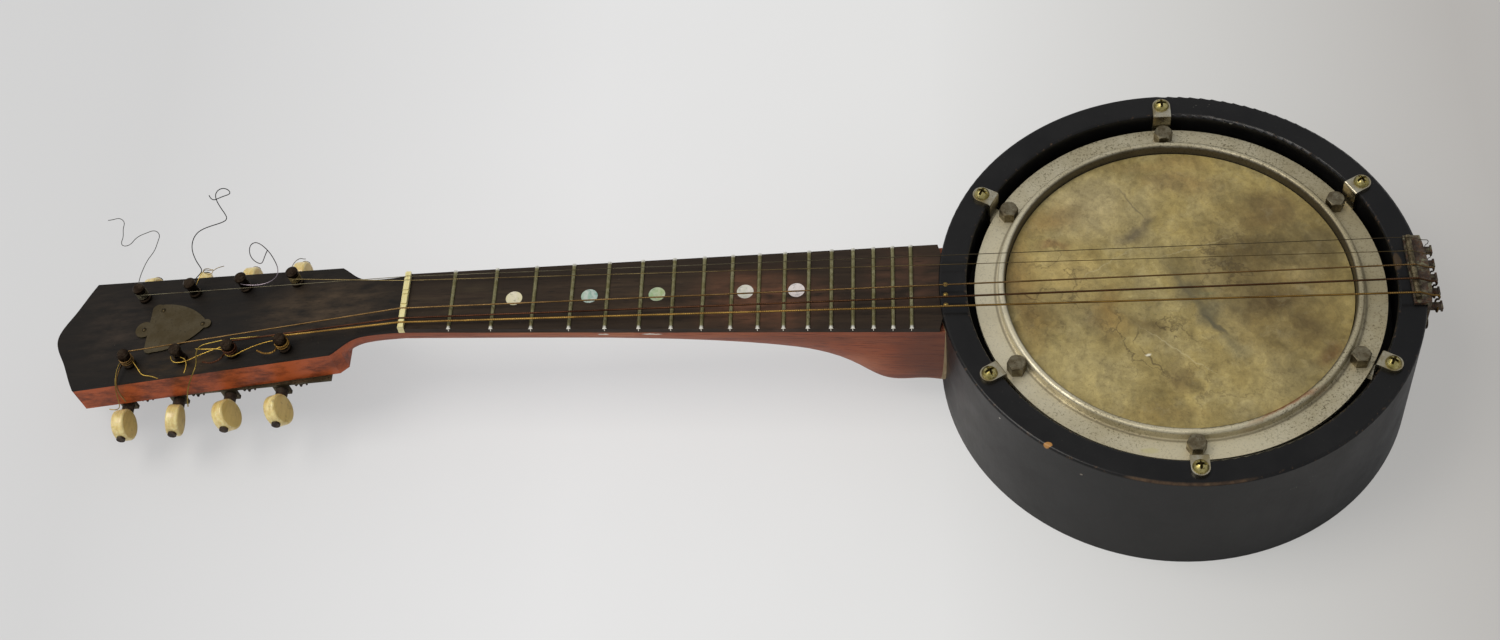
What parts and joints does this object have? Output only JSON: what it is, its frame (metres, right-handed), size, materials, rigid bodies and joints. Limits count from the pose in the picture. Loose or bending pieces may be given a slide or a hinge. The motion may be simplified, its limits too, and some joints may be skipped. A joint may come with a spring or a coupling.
{
  "type": "banjo mandolin",
  "caption": "Small banjo-bodied mandolin with a round drum pot, flanged bezel, fretted neck, slotted nut, side tuning machines and a hooked tailpiece.",
  "frame": {"origin": "centre of the drum pot's flat back, where the instrument lies on a table", "axes": "+X along the neck from the headstock to the tail, +Z out of the vellum, +Y across, so that the fingerboard and vellum face up"},
  "size_m": [0.5874, 0.197, 0.065],
  "materials": {
    "black_lacquer": "worn black lacquer on wood, semi-gloss",
    "ledge_wood": "plain unfinished beech",
    "pole_wood": "plain unfinished beech",
    "mahogany": "red-brown French-polished mahogany",
    "shim_wood": "pale bare wood",
    "dark_board": "dark-stained hardwood, dull",
    "vellum": "old calfskin vellum, stained, dry",
    "bone": "yellowed bone-coloured celluloid",
    "pearl": "mother-of-pearl",
    "nickel": "tarnished nickel plate",
    "old_nickel": "darkened nickel plate",
    "brass": "aged brass",
    "fret_metal": "worn nickel silver",
    "dark_steel": "rusted dark steel",
    "steel_wire": "plain steel wire",
    "bronze_wire": "bronze-wound wire"
  },
  "bodies": {
    "body": {"pot_wall": "black_lacquer", "pot_back": "black_lacquer", "ledge_ring": "ledge_wood", "tone_ring": "brass", "vellum": "vellum", "flesh_hoop": "steel_wire", "bezel": "nickel", "rim_clips": "nickel", "clip_screws": "brass", "perch_pole": "pole_wood", "end_button": "dark_steel", "tailpiece": "dark_steel", "tail_bar": "brass", "neck": "mahogany", "neck_shim": "shim_wood", "fingerboard": "dark_board", "frets": "fret_metal", "nut": "bone", "position_dots": "pearl", "head_face": "dark_board", "nameplate": "old_nickel", "brass_pins": "brass", "tuner_plate_upper": "old_nickel", "tuner_plate_lower": "old_nickel", "plate_screws": "dark_steel", "string_e_outer": "steel_wire", "string_e_inner": "steel_wire", "string_d": "bronze_wire", "string_g_inner": "dark_steel", "string_g_outer": "bronze_wire"},
    "bolt_1": {"tension_bolt_1": "nickel"},
    "bolt_2": {"tension_bolt_2": "nickel"},
    "bolt_3": {"tension_bolt_3": "nickel"},
    "bolt_4": {"tension_bolt_4": "nickel"},
    "bolt_5": {"tension_bolt_5": "nickel"},
    "bolt_6": {"tension_bolt_6": "nickel"},
    "machine_1": {"worm_shaft_1": "dark_steel", "button_1": "bone"},
    "string_post_1": {"post_1": "old_nickel"},
    "machine_2": {"worm_shaft_2": "dark_steel", "button_2": "bone"},
    "string_post_2": {"post_2": "old_nickel"},
    "machine_3": {"worm_shaft_3": "dark_steel", "button_3": "bone"},
    "string_post_3": {"post_3": "old_nickel"},
    "machine_4": {"worm_shaft_4": "dark_steel", "button_4": "bone"},
    "string_post_4": {"post_4": "old_nickel"},
    "machine_5": {"worm_shaft_5": "dark_steel", "button_5": "bone"},
    "string_post_5": {"post_5": "old_nickel"},
    "machine_6": {"worm_shaft_6": "dark_steel", "button_6": "bone"},
    "string_post_6": {"post_6": "old_nickel"},
    "machine_7": {"worm_shaft_7": "dark_steel", "button_7": "bone"},
    "string_post_7": {"post_7": "old_nickel"},
    "machine_8": {"worm_shaft_8": "dark_steel", "button_8": "bone"},
    "string_post_8": {"post_8": "old_nickel"}
  },
  "joints": [
    {"name": "bolt_1_turn", "type": "hinge", "parent": "body", "child": "bolt_1", "pos_m": [0.06798, 0.03925, 0.05], "axis": [0, 0, 1], "range_deg": [-180, 180]},
    {"name": "bolt_2_turn", "type": "hinge", "parent": "body", "child": "bolt_2", "pos_m": [0, 0.0785, 0.05], "axis": [0, 0, 1], "range_deg": [-180, 180]},
    {"name": "bolt_3_turn", "type": "hinge", "parent": "body", "child": "bolt_3", "pos_m": [-0.06798, 0.03925, 0.05], "axis": [0, 0, 1], "range_deg": [-180, 180]},
    {"name": "bolt_4_turn", "type": "hinge", "parent": "body", "child": "bolt_4", "pos_m": [-0.06798, -0.03925, 0.05], "axis": [0, 0, 1], "range_deg": [-180, 180]},
    {"name": "bolt_5_turn", "type": "hinge", "parent": "body", "child": "bolt_5", "pos_m": [0, -0.0785, 0.05], "axis": [0, 0, 1], "range_deg": [-180, 180]},
    {"name": "bolt_6_turn", "type": "hinge", "parent": "body", "child": "bolt_6", "pos_m": [0.06798, -0.03925, 0.05], "axis": [0, 0, 1], "range_deg": [-180, 180]},
    {"name": "button_1", "type": "hinge", "parent": "body", "child": "machine_1", "pos_m": [-0.38022, 0.0173, 0.03119], "axis": [0, 1, 0], "continuous": true},
    {"name": "post_1", "type": "hinge", "parent": "body", "child": "string_post_1", "pos_m": [-0.37473, 0.0173, 0.05131], "axis": [-0.1219, 0, 0.9925], "continuous": true},
    {"name": "button_2", "type": "hinge", "parent": "body", "child": "machine_2", "pos_m": [-0.40374, 0.0173, 0.0283], "axis": [0, 1, 0], "continuous": true},
    {"name": "post_2", "type": "hinge", "parent": "body", "child": "string_post_2", "pos_m": [-0.39825, 0.0173, 0.04842], "axis": [-0.1219, 0, 0.9925], "continuous": true},
    {"name": "button_3", "type": "hinge", "parent": "body", "child": "machine_3", "pos_m": [-0.42726, 0.0173, 0.02541], "axis": [0, 1, 0], "continuous": true},
    {"name": "post_3", "type": "hinge", "parent": "body", "child": "string_post_3", "pos_m": [-0.42177, 0.0173, 0.04553], "axis": [-0.1219, 0, 0.9925], "continuous": true},
    {"name": "button_4", "type": "hinge", "parent": "body", "child": "machine_4", "pos_m": [-0.45079, 0.0173, 0.02252], "axis": [0, 1, 0], "continuous": true},
    {"name": "post_4", "type": "hinge", "parent": "body", "child": "string_post_4", "pos_m": [-0.4453, 0.0173, 0.04264], "axis": [-0.1219, 0, 0.9925], "continuous": true},
    {"name": "button_5", "type": "hinge", "parent": "body", "child": "machine_5", "pos_m": [-0.38022, -0.0173, 0.03119], "axis": [0, 1, 0], "continuous": true},
    {"name": "post_5", "type": "hinge", "parent": "body", "child": "string_post_5", "pos_m": [-0.37473, -0.0173, 0.05131], "axis": [-0.1219, 0, 0.9925], "continuous": true},
    {"name": "button_6", "type": "hinge", "parent": "body", "child": "machine_6", "pos_m": [-0.40374, -0.0173, 0.0283], "axis": [0, 1, 0], "continuous": true},
    {"name": "post_6", "type": "hinge", "parent": "body", "child": "string_post_6", "pos_m": [-0.39825, -0.0173, 0.04842], "axis": [-0.1219, 0, 0.9925], "continuous": true},
    {"name": "button_7", "type": "hinge", "parent": "body", "child": "machine_7", "pos_m": [-0.42726, -0.0173, 0.02541], "axis": [0, 1, 0], "continuous": true},
    {"name": "post_7", "type": "hinge", "parent": "body", "child": "string_post_7", "pos_m": [-0.42177, -0.0173, 0.04553], "axis": [-0.1219, 0, 0.9925], "continuous": true},
    {"name": "button_8", "type": "hinge", "parent": "body", "child": "machine_8", "pos_m": [-0.45079, -0.0173, 0.02252], "axis": [0, 1, 0], "continuous": true},
    {"name": "post_8", "type": "hinge", "parent": "body", "child": "string_post_8", "pos_m": [-0.4453, -0.0173, 0.04264], "axis": [-0.1219, 0, 0.9925], "continuous": true}
  ],
  "couplings": [
    {"joint": "post_1", "follows": "button_1", "ratio": 0.071429},
    {"joint": "post_2", "follows": "button_2", "ratio": 0.071429},
    {"joint": "post_3", "follows": "button_3", "ratio": 0.071429},
    {"joint": "post_4", "follows": "button_4", "ratio": 0.071429},
    {"joint": "post_5", "follows": "button_5", "ratio": 0.071429},
    {"joint": "post_6", "follows": "button_6", "ratio": 0.071429},
    {"joint": "post_7", "follows": "button_7", "ratio": 0.071429},
    {"joint": "post_8", "follows": "button_8", "ratio": 0.071429}
  ]
}
